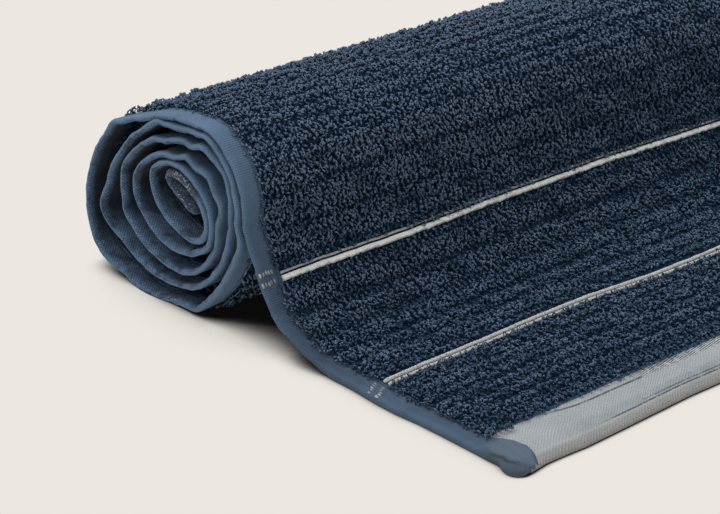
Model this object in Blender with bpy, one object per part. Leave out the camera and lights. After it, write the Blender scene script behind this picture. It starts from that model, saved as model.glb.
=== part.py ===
"""Hand towel, partly rolled: one terry cloth wound into a loose roll, its free end falling to the floor.

The cloth is one sheet. Its path is worked out as a section across the roll (Y and Z), and the
section is lofted along the roll's axis (X), which is the width of the towel.
"""
import bpy
import bmesh
import numpy as np
from math import pi

# ---- the cloth, laid flat (metres) ----
TOWEL_WIDTH = 0.500
SIDE_HEM = 0.0085          # folded flat-woven hem along each long side
HEM_HALF = 0.00085         # half the thickness of the folded hem
WEAVE_HALF = 0.00080       # half the thickness of the flat-woven end band
PILE_OUTSIDE = 0.0029      # middle of the cloth to the tips of the loops, on the free outer face
PILE_INSIDE = 0.0030       # the same on the inner face, where nothing presses it
PILE_EDGE = 0.0014         # the pile rises from the hem within this width
CORNER_CUT = 0.0050        # the rounded corners of the free end, at the very edge
CORNER_DEPTH = 0.0035      # where the rounding of the corners has all but ended
CORNER_REST = 0.0003       # what is left of the rounding there
RIB_PITCH = 0.0046         # rows of loops across the towel
RIB_RISE = 0.00040         # height of a row above the valley beside it
TURN_STEP = 0.0060         # spacing of the section's points where the cloth is wound
LAYER_GAP = 0.00040        # air kept between two turns
DETOUR = 1.8               # another turn is this many times further along the cloth than straight
NEAREST_TURN = 0.003       # and at least this far along it
FACING = 0.3               # the sine of the angle past which it counts as beside the face

# ---- the way it lies (metres) ----
FREE_EDGE_Y = -0.1463      # the free end, on the floor
FREE_EDGE_Z = 0.0008
BAND_CREST_Y = -0.1200     # the flat-woven band climbs to the level of the pile here
FLOOR_LEVEL = 0.0026       # middle of the cloth above the floor, along the flat stretch
CORE_END = (0.0022, 0.0358)

# The cloth's path from the floor inwards. Each row is a place where the cloth runs level or
# upright, and the arc that leads there is a quarter of a superellipse of the given fullness.
# columns: place, y, z, fullness, run of the cloth there
SECTION = (
    ("foot of the fall", -0.0647, 0.0028, 0.00, "start"),
    ("front of the fall", -0.0224, 0.0481, 1.98, "upright"),
    ("top of turn 1", -0.0028, 0.0668, 1.70, "level"),
    ("back of turn 1", 0.0613, 0.0203, 2.20, "upright"),
    ("seat, back edge", 0.0375, 0.0012, 2.00, "level"),
    ("seat, front edge", 0.0080, 0.0012, 0.00, "straight"),
    ("front of turn 2", -0.0203, 0.0350, 1.55, "upright"),
    ("top of turn 2", 0.0030, 0.0643, 2.40, "level"),
    ("back of turn 2", 0.0519, 0.0210, 1.90, "upright"),
    ("bottom of turn 2", 0.0188, 0.0070, 1.50, "level"),
    ("front of turn 3", -0.0165, 0.0430, 2.10, "upright"),
    ("top of turn 3", -0.0010, 0.0597, 2.20, "level"),
    ("back of turn 3", 0.0410, 0.0344, 2.00, "upright"),
    ("bottom of turn 3", 0.0108, 0.0128, 2.15, "level"),
    ("front of turn 4", -0.0115, 0.0410, 1.90, "upright"),
    ("top of turn 4", 0.0064, 0.0537, 1.80, "level"),
    ("back of turn 4", 0.0341, 0.0354, 2.00, "upright"),
    ("bottom of turn 4", 0.0119, 0.0197, 1.75, "level"),
    ("front of turn 5", -0.0068, 0.0345, 2.00, "upright"),
    ("top of turn 5", 0.0124, 0.0504, 1.90, "level"),
    ("back of turn 5", 0.0254, 0.0400, 1.90, "upright"),
    ("bottom of turn 5", 0.0035, 0.0262, 1.75, "level"),
    ("front of turn 6", -0.0046, 0.0345, 2.10, "upright"),
    ("top of turn 6", 0.0133, 0.0472, 1.60, "level"),
    ("back of turn 6", 0.0182, 0.0444, 2.10, "upright"),
)

# The face of the cloth along its length, from either end.
# columns: place, distance from the towel's end, share of the pile's height
FACE = (
    ("end hem", 0.0000, 0.00),
    ("edge of the woven band", 0.0243, 0.00),
    ("first loops", 0.0256, 1.00),
    ("outer stripe, near side", 0.0640, 1.00),
    ("outer stripe", 0.0652, 0.45),
    ("outer stripe", 0.0684, 0.45),
    ("outer stripe, far side", 0.0696, 1.00),
    ("inner stripe, near side", 0.1202, 1.00),
    ("inner stripe", 0.1214, 0.45),
    ("inner stripe", 0.1246, 0.45),
    ("inner stripe, far side", 0.1258, 1.00),
)

# Sections along the roll. columns: x, share of the pile, corner cut, lean to the back, swell
HALF_WIDTH = TOWEL_WIDTH / 2.0
STATIONS = (
    (-HALF_WIDTH, 0.0, CORNER_CUT, 0.0000, 0.000),
    (-HALF_WIDTH + CORNER_DEPTH, 0.0, CORNER_REST, 0.0000, 0.000),
    (-HALF_WIDTH + SIDE_HEM, 0.0, 0.0, 0.0000, 0.000),
    (-HALF_WIDTH + SIDE_HEM + PILE_EDGE, 1.0, 0.0, 0.0000, 0.000),
    (-0.0850, 1.0, 0.0, 0.0008, -0.006),
    (0.0900, 1.0, 0.0, -0.0007, 0.009),
    (HALF_WIDTH - SIDE_HEM - PILE_EDGE, 1.0, 0.0, 0.0012, -0.004),
    (HALF_WIDTH - SIDE_HEM, 0.0, 0.0, 0.0012, -0.004),
    (HALF_WIDTH - CORNER_DEPTH, 0.0, CORNER_REST, 0.0014, -0.004),
    (HALF_WIDTH, 0.0, CORNER_CUT, 0.0014, -0.004),
)


def quarter_arc(start, end, fullness, run, count=24):
    """Points of a quarter superellipse from start to end, without its first point."""
    turn = np.linspace(0.0, pi / 2.0, count)[1:]
    power = 2.0 / fullness
    away = np.cos(turn) ** power
    along = np.sin(turn) ** power
    if run == "level":
        y = end[0] + (start[0] - end[0]) * away
        z = start[1] + (end[1] - start[1]) * along
    else:
        y = start[0] + (end[0] - start[0]) * along
        z = end[1] + (start[1] - end[1]) * away
    return np.stack([y, z], axis=1)


def centreline():
    """The middle of the cloth from the free edge on the floor to the end in the core."""
    here = np.array(SECTION[0][1:3])
    points = [np.array([[FREE_EDGE_Y, FREE_EDGE_Z], [BAND_CREST_Y, FLOOR_LEVEL], here])]
    for place, y, z, fullness, run in SECTION[1:]:
        there = np.array([y, z])
        if run == "straight":
            points.append(there[None, :])
        else:
            points.append(quarter_arc(here, there, fullness, run))
        here = there
    points.append(np.array([CORE_END]))
    return np.concatenate(points)


def lengths_along(line):
    steps = np.linalg.norm(np.diff(line, axis=0), axis=1)
    return np.concatenate([[0.0], np.cumsum(steps)])


def points_at(line, places):
    along = lengths_along(line)
    return np.stack([np.interp(places, along, line[:, axis]) for axis in (0, 1)], axis=1)


def rounded(line, passes=12, step=0.0015):
    """The same path with its joints eased, so that no bend is tighter than the cloth allows."""
    total = lengths_along(line)[-1]
    fine = points_at(line, np.linspace(0.0, total, int(total / step)))
    for _ in range(passes):
        fine[1:-1] = 0.25 * fine[:-2] + 0.5 * fine[1:-1] + 0.25 * fine[2:]
    return fine


def face_places(total):
    """Both ends' rows of FACE as distances from the free edge, with the pile's share at each."""
    from_free_end = [(distance, share) for place, distance, share in FACE]
    from_core_end = [(total - distance, share) for place, distance, share in reversed(FACE)]
    return np.array(from_free_end + from_core_end)


def sample_places(total, free_length, face):
    """Distances along the cloth: every crest and valley where it lies free, coarser in the roll."""
    ribs = np.arange(0.0, free_length, RIB_PITCH / 2.0)
    turns = np.linspace(free_length, total, int((total - free_length) / TURN_STEP))
    edges = face[:, 0]
    spaced = [place for place in np.concatenate([ribs, turns])
              if np.abs(edges - place).min() > RIB_PITCH / 4.0]
    return np.unique(np.concatenate([spaced, edges]))


def normals_of(line):
    """Unit vectors across the path, pointing to the outside of the roll."""
    run = np.gradient(line, axis=0)
    run /= np.linalg.norm(run, axis=1)[:, None]
    return np.stack([-run[:, 1], run[:, 0]], axis=1)


def room_beside(line, normals, places):
    """Half of the free distance to the next turn, on the outer and on the inner side."""
    rooms = []
    for side in (1.0, -1.0):
        gap = line[None, :, :] - line[:, None, :]
        distance = np.linalg.norm(gap, axis=2)
        path = np.abs(places[None, :] - places[:, None])
        facing = np.einsum("ijk,ik->ij", gap, normals) * side
        other_turn = (path > DETOUR * distance + NEAREST_TURN) & (facing > FACING * distance)
        nearest = np.where(other_turn, distance, 1.0).min(axis=1)
        rooms.append((nearest - LAYER_GAP) / 2.0)
    return rooms


def cloth_section():
    """Sampled path with its normals, and the reach of the cloth to either side of it."""
    line = rounded(centreline())
    total = lengths_along(line)[-1]
    back = int(np.argmax(line[:, 0]))
    free_length = lengths_along(line)[back]
    face = face_places(total)
    places = sample_places(total, free_length, face)
    points = points_at(line, places)
    normals = normals_of(points)
    outer_room, inner_room = room_beside(points, normals, places)
    share = np.interp(places, face[:, 0], face[:, 1])
    crest = np.cos(2.0 * pi * places / RIB_PITCH) * RIB_RISE / 2.0 * (places < free_length)
    outer = WEAVE_HALF + share * (PILE_OUTSIDE + crest - WEAVE_HALF)
    inner = WEAVE_HALF + share * (PILE_INSIDE - WEAVE_HALF)
    return points, normals, (outer, outer_room), (inner, inner_room)


def side_of(points, normals, reach, room, share, sign):
    """One face of the cloth at one station, kept clear of the next turn and of the floor."""
    depth = np.minimum(HEM_HALF + share * (reach - HEM_HALF), room)
    face = points + normals * depth[:, None] * sign
    face[:, 1] = np.maximum(face[:, 1], 0.0)
    return face


def station_rings():
    """The outline of the cloth at each station, centred on its footprint: one array of points each."""
    points, normals, outer, inner = cloth_section()
    height = points[:, 1].max()
    from_edge = (points[:, 0] - FREE_EDGE_Y) / (2.0 * CORNER_CUT)
    rings = []
    for x, share, corner, lean, swell in STATIONS:
        drawn = points.copy()
        drawn[:, 0] += corner * np.maximum(1.0 - from_edge, 0.0)
        outside = side_of(drawn, normals, *outer, share, 1.0)
        inside = side_of(drawn, normals, *inner, share, -1.0)
        ring = np.concatenate([outside, inside[::-1]])
        y = ring[:, 0] + lean * ring[:, 1] / height
        z = ring[:, 1] * (1.0 + swell)
        rings.append(np.stack([np.full(len(ring), x), y, z], axis=1))
    all_y = np.concatenate([ring[:, 1] for ring in rings])
    for ring in rings:
        ring[:, 1] -= (all_y.min() + all_y.max()) / 2.0
    return rings


def towel_mesh():
    """The rings joined into one closed solid: its faces, its edges and an end face at each side hem."""
    mesh = bmesh.new()
    loops = [[mesh.verts.new(point) for point in ring] for ring in station_rings()]
    size = len(loops[0])
    for near, far in zip(loops[:-1], loops[1:]):
        for i in range(size):
            k = (i + 1) % size
            mesh.faces.new((near[i], near[k], far[k], far[i]))
    for ring in (loops[0], loops[-1]):
        for i in range(size // 2 - 1):
            mesh.faces.new((ring[i], ring[i + 1], ring[size - 2 - i], ring[size - 1 - i]))
    bmesh.ops.triangulate(mesh, faces=mesh.faces[:])
    bmesh.ops.recalc_face_normals(mesh, faces=mesh.faces[:])
    data = bpy.data.meshes.new("hand_towel")
    mesh.to_mesh(data)
    mesh.free()
    return data


def terry_material():
    material = bpy.data.materials.new("navy terry")
    material.use_nodes = True
    shader = material.node_tree.nodes["Principled BSDF"]
    shader.inputs["Base Color"].default_value = (0.030, 0.056, 0.100, 1.0)
    shader.inputs["Roughness"].default_value = 0.95
    shader.inputs["Metallic"].default_value = 0.0
    return material


def build():
    for item in list(bpy.data.objects):
        bpy.data.objects.remove(item)
    collection = bpy.data.collections.new("Hand towel")
    bpy.context.scene.collection.children.link(collection)
    towel = bpy.data.objects.new("hand_towel", towel_mesh())
    towel.data.materials.append(terry_material())
    towel.data.shade_smooth()
    towel.data.set_sharp_from_angle(angle=pi / 4.0)
    collection.objects.link(towel)


build()
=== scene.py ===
"""Hand towel, partly rolled: the looks of its terry cloth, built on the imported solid.

The towel is one cloth of navy terry, with a folded flat-woven hem along each long side, a pale
flat-woven band at each end and two woven stripes beside the band that lies open. It is wound into
a loose roll, and its free end falls from the roll and lies flat. A place on the cloth is given as
x, along the roll and across the cloth, and s, the distance along the cloth from its free end.
"""
from math import pi, radians

import bpy
import bmesh
import numpy as np
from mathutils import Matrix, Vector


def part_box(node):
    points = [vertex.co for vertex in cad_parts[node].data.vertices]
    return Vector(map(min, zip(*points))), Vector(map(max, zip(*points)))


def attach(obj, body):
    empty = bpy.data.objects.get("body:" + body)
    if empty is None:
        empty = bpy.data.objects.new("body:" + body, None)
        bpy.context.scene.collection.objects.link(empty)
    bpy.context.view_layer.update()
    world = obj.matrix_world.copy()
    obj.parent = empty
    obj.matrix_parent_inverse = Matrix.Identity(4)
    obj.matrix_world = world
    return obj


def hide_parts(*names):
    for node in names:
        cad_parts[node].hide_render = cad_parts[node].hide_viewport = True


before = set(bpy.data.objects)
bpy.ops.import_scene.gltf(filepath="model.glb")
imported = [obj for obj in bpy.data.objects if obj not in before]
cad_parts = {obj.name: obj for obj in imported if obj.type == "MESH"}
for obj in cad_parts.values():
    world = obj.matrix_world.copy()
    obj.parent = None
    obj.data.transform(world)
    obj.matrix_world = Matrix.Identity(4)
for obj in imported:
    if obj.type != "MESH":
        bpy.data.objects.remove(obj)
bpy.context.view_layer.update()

bl_info = {
    "name": "Rolled terry hand towel",
    "version": (1, 0, 0),
    "blender": (4, 5, 0),
    "location": "View3D > Sidebar > Towel",
    "description": "Builds a partly rolled terry hand towel on its solid, loop by loop",
    "category": "Object",
}

NODE = "hand_towel"
BODY = "root"
LOW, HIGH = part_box(NODE)

# ---- the way the cloth lies (metres), as in its solid ----
FREE_EDGE_Y = -0.1463
FREE_EDGE_Z = 0.0008
BAND_CREST_Y = -0.1200
FLOOR_LEVEL = 0.0026
CORE_END = (0.0022, 0.0358)
CLEAR = 0.0001             # left free beside the next turn and the floor

# Each row is a place where the cloth runs level or upright, and the arc that leads there is a
# quarter of a superellipse of the given fullness.
# columns: place, y, z, fullness, run of the cloth there
SECTION = (
    ("foot of the fall", -0.0647, 0.0028, 0.00, "start"),
    ("front of the fall", -0.0224, 0.0481, 1.98, "upright"),
    ("top of turn 1", -0.0028, 0.0668, 1.70, "level"),
    ("back of turn 1", 0.0613, 0.0203, 2.20, "upright"),
    ("seat, back edge", 0.0375, 0.0012, 2.00, "level"),
    ("seat, front edge", 0.0080, 0.0012, 0.00, "straight"),
    ("front of turn 2", -0.0203, 0.0350, 1.55, "upright"),
    ("top of turn 2", 0.0030, 0.0643, 2.40, "level"),
    ("back of turn 2", 0.0519, 0.0210, 1.90, "upright"),
    ("bottom of turn 2", 0.0188, 0.0070, 1.50, "level"),
    ("front of turn 3", -0.0165, 0.0430, 2.10, "upright"),
    ("top of turn 3", -0.0010, 0.0597, 2.20, "level"),
    ("back of turn 3", 0.0410, 0.0344, 2.00, "upright"),
    ("bottom of turn 3", 0.0108, 0.0128, 2.15, "level"),
    ("front of turn 4", -0.0115, 0.0410, 1.90, "upright"),
    ("top of turn 4", 0.0064, 0.0537, 1.80, "level"),
    ("back of turn 4", 0.0341, 0.0354, 2.00, "upright"),
    ("bottom of turn 4", 0.0119, 0.0197, 1.75, "level"),
    ("front of turn 5", -0.0068, 0.0345, 2.00, "upright"),
    ("top of turn 5", 0.0124, 0.0504, 1.90, "level"),
    ("back of turn 5", 0.0254, 0.0400, 1.90, "upright"),
    ("bottom of turn 5", 0.0035, 0.0262, 1.75, "level"),
    ("front of turn 6", -0.0046, 0.0345, 2.10, "upright"),
    ("top of turn 6", 0.0133, 0.0472, 1.60, "level"),
    ("back of turn 6", 0.0182, 0.0444, 2.10, "upright"),
)

# The roll's slight lean to the back and swell along its length, as in its solid.
# columns: x, lean, swell
UNEVENNESS = (
    (-0.2401, 0.0000, 0.000),
    (-0.0850, 0.0008, -0.006),
    (0.0900, -0.0007, 0.009),
    (0.2401, 0.0012, -0.004),
)

# Small kinks of the hem where it shows at the near end of the roll (millimetres).
# columns: place along the cloth, half its length, outward, out of the roll's end
KINKS = (
    (108.0, 6.0, -0.9, 0.0), (129.0, 5.0, 0.7, 0.0), (141.0, 3.5, -0.6, 0.0), (175.0, 6.0, 0.6, 0.0),
    (211.0, 6.0, -0.7, 0.2), (228.5, 4.0, 1.6, 0.4), (247.0, 6.0, -0.3, 0.0), (281.0, 8.0, 0.7, 0.3),
    (296.0, 3.5, -0.7, 0.0), (311.0, 9.0, 1.9, 1.1), (337.0, 5.0, 1.0, 0.3), (357.0, 6.0, -0.6, 0.0),
    (373.0, 3.5, 1.0, 0.0), (380.0, 3.0, -1.1, 0.0), (396.0, 4.0, 0.8, 0.0), (410.0, 5.0, 1.1, 0.0),
    (425.0, 5.0, -0.7, 0.0), (437.0, 5.0, 1.6, 0.3), (465.0, 8.0, -0.5, 0.0), (477.0, 3.0, -0.8, 0.0),
    (487.5, 4.5, 1.3, 0.4), (501.0, 6.0, -1.1, 0.0), (545.0, 12.0, 0.5, 0.0), (593.0, 5.0, 0.8, 0.0),
    (605.5, 3.0, 0.9, 0.2), (611.0, 2.5, -0.9, 0.0), (626.0, 3.0, -0.6, 0.0), (632.0, 3.0, 0.5, 0.2),
    (654.0, 4.0, 0.6, 0.0), (670.0, 4.0, 0.8, 0.3), (735.0, 3.5, -1.4, 0.0), (741.5, 2.5, 1.0, 0.2),
    (747.0, 2.5, -0.7, 0.0), (752.0, 2.5, 0.8, 0.0), (758.5, 2.5, -0.8, 0.0), (763.5, 2.2, 1.1, 0.2),
    (770.0, 3.0, -0.9, 0.0), (797.0, 6.0, 0.5, 0.0), (811.0, 3.0, -0.4, 0.0), (847.0, 5.0, 0.6, 0.0),
    (868.0, 3.5, -0.6, 0.0), (893.0, 3.0, 0.6, 0.2), (901.0, 3.0, -0.5, 0.0), (926.0, 4.0, 0.6, 0.2),
)
KINK_REACH = 0.016         # the kinks of an end die out within this depth

# The lines of the two stripes beside the open band: a flat ribbon of weave with slanted stitches.
# columns: name, distance from the towel's end, width, crest, brightness, slant (degrees), pitch,
# stitch length, stitch girth, how much of it the pile covers
STRIPE_LINES = (
    ("outer stripe, lower line", 0.0657, 0.0012, 0.0019, 0.78, 9.0, 0.0013, 0.0019, 0.00060, 0.20),
    ("outer stripe, upper line", 0.0679, 0.0012, 0.0020, 0.74, -8.0, 0.0014, 0.0020, 0.00062, 0.10),
    ("inner stripe, thick line", 0.1222, 0.0021, 0.0024, 1.00, 4.0, 0.0042, 0.0050, 0.00115, 0.00),
    ("inner stripe, thin line", 0.1242, 0.0009, 0.0017, 0.55, 14.0, 0.0013, 0.0017, 0.00055, 0.75),
)
# How far the stripes stray from straight lines. columns: x, outer stripe, inner stripe
STRIPE_DRIFT = (
    (-0.242, -0.0010, -0.0001), (-0.225, -0.0003, 0.0000), (-0.200, -0.0002, -0.0002),
    (-0.175, 0.0006, 0.0000), (-0.150, 0.0004, 0.0005), (-0.120, -0.0020, 0.0005),
    (-0.095, -0.0022, 0.0006), (-0.060, -0.0010, -0.0002), (-0.030, 0.0000, -0.0009),
    (0.040, 0.0006, 0.0000), (0.110, -0.0005, 0.0006), (0.180, 0.0004, 0.0001), (0.242, -0.0006, -0.0003),
)
BETWEEN_STRIPES = 0.095    # lines nearer to the towel's end than this belong to the outer stripe
OVERGROWN = (-0.195, -0.180)  # the pile grows over the inner stripe's thin line past here
MOSTLY_COVERED = 0.7       # a line that the pile covers more than this is overgrown there
# Where the same yarns cross the side hems they show as rows of short dashes.
# columns: distance from the towel's end, shift at the rim
DASH_ROWS = ((0.0646, -0.0018), (0.0684, -0.0016), (0.1220, -0.0003), (0.1254, -0.0002))
DASHES = (0.0006, 0.0018, 0.0030, 0.0042, 0.0055)  # distances of a row's dashes from the rim

# The free edge of the band isn't quite straight.
# columns: x, inward (metres)
EDGE_WAVE = (
    (-0.2500, 0.0006), (-0.2430, 0.0012), (-0.2360, 0.0022), (-0.2260, 0.0019), (-0.2210, 0.0015),
    (-0.2040, 0.0020), (-0.1880, 0.0026), (-0.1720, 0.0032), (-0.1500, 0.0027), (-0.1200, 0.0015),
    (-0.0700, 0.0008), (-0.0100, 0.0002), (0.0600, 0.0010), (0.1300, 0.0003), (0.1900, 0.0012),
    (0.2380, 0.0014), (0.2500, 0.0000),
)

# The side hem is wider at the corners. columns: distance from the towel's end, width of the hem
HEM_WIDTHS = (
    (0.0000, 0.0100), (0.0020, 0.0114), (0.0040, 0.0127), (0.0070, 0.0142), (0.0110, 0.0149),
    (0.0150, 0.0134), (0.0175, 0.0120), (0.0200, 0.0100), (0.0220, 0.0088), (0.0300, 0.0086),
)
# How far the loose rim of the hem is drawn in. columns: s, inward
RIM_PULL = (
    (0.0000, 0.0018), (0.0025, 0.0010), (0.0050, 0.0005), (0.0075, 0.0012), (0.0100, 0.0024),
    (0.0145, 0.0023), (0.0210, 0.0025), (0.0350, 0.0026), (0.0450, 0.0025), (0.0540, 0.0018),
    (0.0630, 0.0019), (0.0750, 0.0028), (0.0870, 0.0028), (0.0960, 0.0013), (0.1100, 0.0004),
    (0.1700, 0.0005), (0.2150, 0.0002), (0.2400, 0.0000),
)
# The loops cover the hem's inner edge. columns: s, distance from the rim to the first loops
PILE_EDGE = (
    (0.020, 0.0066), (0.037, 0.0062), (0.056, 0.0056), (0.066, 0.0060), (0.080, 0.0062),
    (0.093, 0.0048), (0.112, 0.0047), (0.126, 0.0062), (0.150, 0.0068), (0.430, 0.0070),
    (0.445, 0.0092), (0.980, 0.0092),
)
REVERSE_EDGE = 0.0022      # the loops of the inner face begin this much further in
RIM_EASE = 0.011           # what moves only the rim of the cloth dies out within this depth
# The crease along the lower wall of the thick corner.
# columns: distance from the towel's end, distance from the rim
CORNER_CREASE = ((0.0020, 0.0046), (0.0034, 0.0040), (0.0060, 0.0031), (0.0093, 0.0018), (0.0141, 0.0008))

# Painted light and shade on the pile along the cloth. columns: s, share at the near end, share further
# along
PAINTED_PILE_LIGHT = (
    (0.020, 0.84, 1.00), (0.050, 0.86, 1.02), (0.095, 0.90, 0.88), (0.125, 0.96, 0.84),
    (0.145, 1.10, 0.92), (0.160, 1.26, 1.08), (0.185, 1.24, 1.38), (0.210, 1.16, 1.36),
    (0.260, 1.08, 1.15), (0.980, 1.00, 1.00),
)
# Side of the painted light on the walls inside the roll: they are painted darker away from it, as painted
# shade.
PAINTED_LIGHT_SIDE = (0.0, 0.45, 0.89)   # the walls inside the roll are darker away from this side

# Furrows across the pile where it shows from close by. Loops in the dark gaps are also painted darker, as
# painted shade.
# columns: s, half width, darkness, from a smooth strip of short loops (0) to an open dark gap (1)
FURROWS = (
    (0.0285, 0.0006, 0.5), (0.0335, 0.0012, 1.0), (0.0395, 0.0006, 0.6), (0.0450, 0.0013, 1.0),
    (0.0510, 0.0006, 0.5), (0.0560, 0.0012, 1.0), (0.0605, 0.0006, 0.7), (0.0730, 0.0007, 0.6),
    (0.0815, 0.0012, 1.0), (0.0890, 0.0012, 1.0), (0.0985, 0.0007, 0.6), (0.1092, 0.0012, 0.9),
    (0.1190, 0.0007, 0.5), (0.1270, 0.0007, 0.6), (0.1328, 0.0014, 0.1), (0.1385, 0.0006, 0.7),
    (0.1440, 0.0015, 0.0), (0.1505, 0.0006, 0.8), (0.1564, 0.0014, 0.1), (0.1610, 0.0006, 0.7),
    (0.1648, 0.0009, 0.2), (0.1682, 0.0010, 1.0), (0.1735, 0.0006, 0.6), (0.1790, 0.0012, 1.0),
    (0.1850, 0.0007, 0.8), (0.1908, 0.0013, 1.0), (0.1958, 0.0011, 1.0), (0.2030, 0.0013, 1.0),
    (0.2090, 0.0010, 1.0),
)

# Girth, span and brightness of the far loops, as shares of those of the close ones.
FAR_LOOPS = (1.65, 1.10, 1.15)
# Girth and brightness of the loops between the turns; the low brightness is painted shade.
WOUND_LOOPS = (1.10, 0.70)
# The close loops reach further along x with each metre of s. columns: x at the free end, slope
CLOSE_VIEW = (-0.158, 1.06)
WHOLE_WIDTH = 0.300

# Pieces of the pile on the outer face. Below the roll it shows only near the roll's ends.
# columns: name, face of the cloth, s from, s to, depth from the side hems
PILE_PIECES = (
    ("pile_flap", 1, 0.0200, 0.0930, WHOLE_WIDTH),
    ("pile_foot", 1, 0.0930, 0.1370, WHOLE_WIDTH),
    ("pile_fall", 1, 0.1370, 0.1780, WHOLE_WIDTH),
    ("pile_crown", 1, 0.1780, 0.2450, WHOLE_WIDTH),
    ("pile_back", 1, 0.2450, 0.3400, WHOLE_WIDTH),
    ("pile_underneath", 1, 0.3400, 0.4300, 0.0280),
)
# Pile that shows between the turns at both ends of the roll.
# columns: face of the cloth, s from, s to, depth from the side hems
WOUND_PILE = (
    (1, 0.4300, 0.9500, 0.0090),
    (-1, 0.0900, 0.1900, 0.0400),
    (-1, 0.1900, 0.9500, 0.0090),
)


# ---------------------------------------------------------------- sizes and colours

def length(name, text, default):
    """A length that a user may change."""
    return bpy.props.FloatProperty(
        name=name, description=text, default=default, unit="LENGTH", precision=5)


def colour(name, text, default):
    """A colour that a user may change."""
    return bpy.props.FloatVectorProperty(
        name=name, description=text, default=default, subtype="COLOR", size=3, min=0.0, max=1.0)


class TowelCloth(bpy.types.PropertyGroup):
    """Sizes of the ground cloth, its hems and its bands."""

    width: length("Width", "Width of the towel across its side hems", HIGH.x - LOW.x)
    hem: length("Side hem", "Width of the folded hem along each long side", 0.0085)
    hem_half: length("Hem half thickness", "Middle of the hem to either face", 0.00105)
    corner_dome: length("Corner dome", "Extra thickness of the hem at the corner", 0.00075)
    corner_round: length("Corner rounding", "Radius of the towel's corners", 0.0036)
    droop: length("Droop", "How far the flat hem sinks below the pile that lifts the cloth", 0.0013)
    ground_half: length("Ground half thickness", "Middle of the cloth to the loops' roots", 0.0009)
    underside: length("Underside", "Middle of the cloth to the pressed pile below it", 0.0025)
    wound_half: length("Wound half thickness", "The same inside the roll", 0.0014)
    band: length("Band", "Width of the pale woven band at each end", 0.0219)
    band_half: length("Band half thickness", "Middle of the band to either face", 0.0008)
    band_fold: length("Band fold", "Width of the fold at the band's edge", 0.0046)
    plain: length("Plain strip", "Distance from the end to where the loops begin", 0.0214)
    core_hem: length("Core hem", "Extra half thickness of the hem where it ends in the core", 0.0004)
    step: length("Step", "Spacing of the cloth's points along its length", 0.0026)


class TowelPile(bpy.types.PropertyGroup):
    """Sizes of the loops and of the rows that they stand in."""

    spacing: length("Spacing", "Distance between loops where they show from close by", 0.00106)
    far_spacing: length("Far spacing", "Distance between loops elsewhere", 0.00222)
    close_end: length("Close view", "Place along the cloth past which it isn't seen from close by", 0.2220)
    span: length("Span", "Distance between the two roots of a loop", 0.00160)
    rise: length("Rise", "Height of a loop above the ground cloth", 0.00195)
    yarn: length("Yarn", "Thickness of the loops' yarn", 0.00058)
    tuft: length("Tuft", "How far loops are gathered into tufts", 0.00045)
    rib: length("Row pitch", "Distance between two furrows on the back of the roll", 0.0082)
    furrow_half: length("Furrow", "Half the width of such a furrow", 0.0010)
    wander: length("Wander", "How far the furrows stray from straight lines", 0.0007)
    relief: length("Relief", "How far the tufts rise above the cloth", 0.00055)
    seed: bpy.props.IntProperty(name="Seed", description="Seed of the loops' unevenness", default=7)


class TowelColours(bpy.types.PropertyGroup):
    """Colours of the yarns."""

    # The loops' colours run from root to tip: the darker root and middle colours are painted shade deep in
    # the pile.
    tip: colour("Loop tip", "Navy of the loops where light reaches them", (0.150, 0.215, 0.310))
    middle: colour("Loop middle", "Navy halfway down a loop", (0.027, 0.066, 0.124))
    root: colour("Loop root", "Navy deep in the pile", (0.0036, 0.0140, 0.0330))
    hem: colour("Hem", "Slate blue of the flat-woven hems", (0.070, 0.117, 0.184))
    corner: colour("Corner", "Greyer blue of the thick corners", (0.092, 0.130, 0.172))
    hem_dark: colour("Hem shade", "Darker threads of the hems", (0.028, 0.052, 0.090))
    band: colour("Band", "Pale grey of the woven bands", (0.405, 0.438, 0.460))
    band_dark: colour("Band lines", "Dark threads in the bands", (0.060, 0.080, 0.105))
    # The band fold colour is painted shade on the curve of the band's fold.
    band_fold: colour("Band fold", "Brownish grey of the band's folded edge", (0.300, 0.300, 0.285))
    speck: colour("Specks", "Pale threads at the core's end", (0.340, 0.365, 0.390))
    stripe: colour("Stripe", "Off-white of the woven stripes", (0.815, 0.825, 0.805))
    floor: colour("Floor", "Warm white of the ground that the towel lies on", (0.839, 0.799, 0.753))


class TowelStage(bpy.types.PropertyGroup):
    """The camera's place and the lights."""

    camera: bpy.props.FloatVectorProperty(
        name="Camera", description="Place of the camera", default=(-0.6901, -0.5323, 0.3410),
        subtype="TRANSLATION", size=3)
    elevation: bpy.props.FloatProperty(
        name="Elevation", description="How far the camera looks down", default=radians(23.886),
        subtype="ANGLE")
    azimuth: bpy.props.FloatProperty(
        name="Azimuth", description="Turn of the camera from +Y", default=radians(-41.649),
        subtype="ANGLE")
    lens: bpy.props.FloatProperty(
        name="Lens", description="Focal length on a 36 mm sensor, in millimetres", default=122.39)
    sky: bpy.props.FloatProperty(
        name="Sky", description="Strength of the even light from all round", default=0.52)
    lamp: bpy.props.FloatProperty(
        name="Lamp", description="Strength of the broad lamp overhead", default=1.75)


# ---------------------------------------------------------------- the cloth's path

def quarter_arc(start, end, fullness, run, count=24):
    """Points of a quarter superellipse from start to end, without its first point."""
    turn = np.linspace(0.0, pi / 2.0, count)[1:]
    power = 2.0 / fullness
    away = np.cos(turn) ** power
    along = np.sin(turn) ** power
    if run == "level":
        y = end[0] + (start[0] - end[0]) * away
        z = start[1] + (end[1] - start[1]) * along
    else:
        y = start[0] + (end[0] - start[0]) * along
        z = end[1] + (start[1] - end[1]) * away
    return np.stack([y, z], axis=1)


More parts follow.
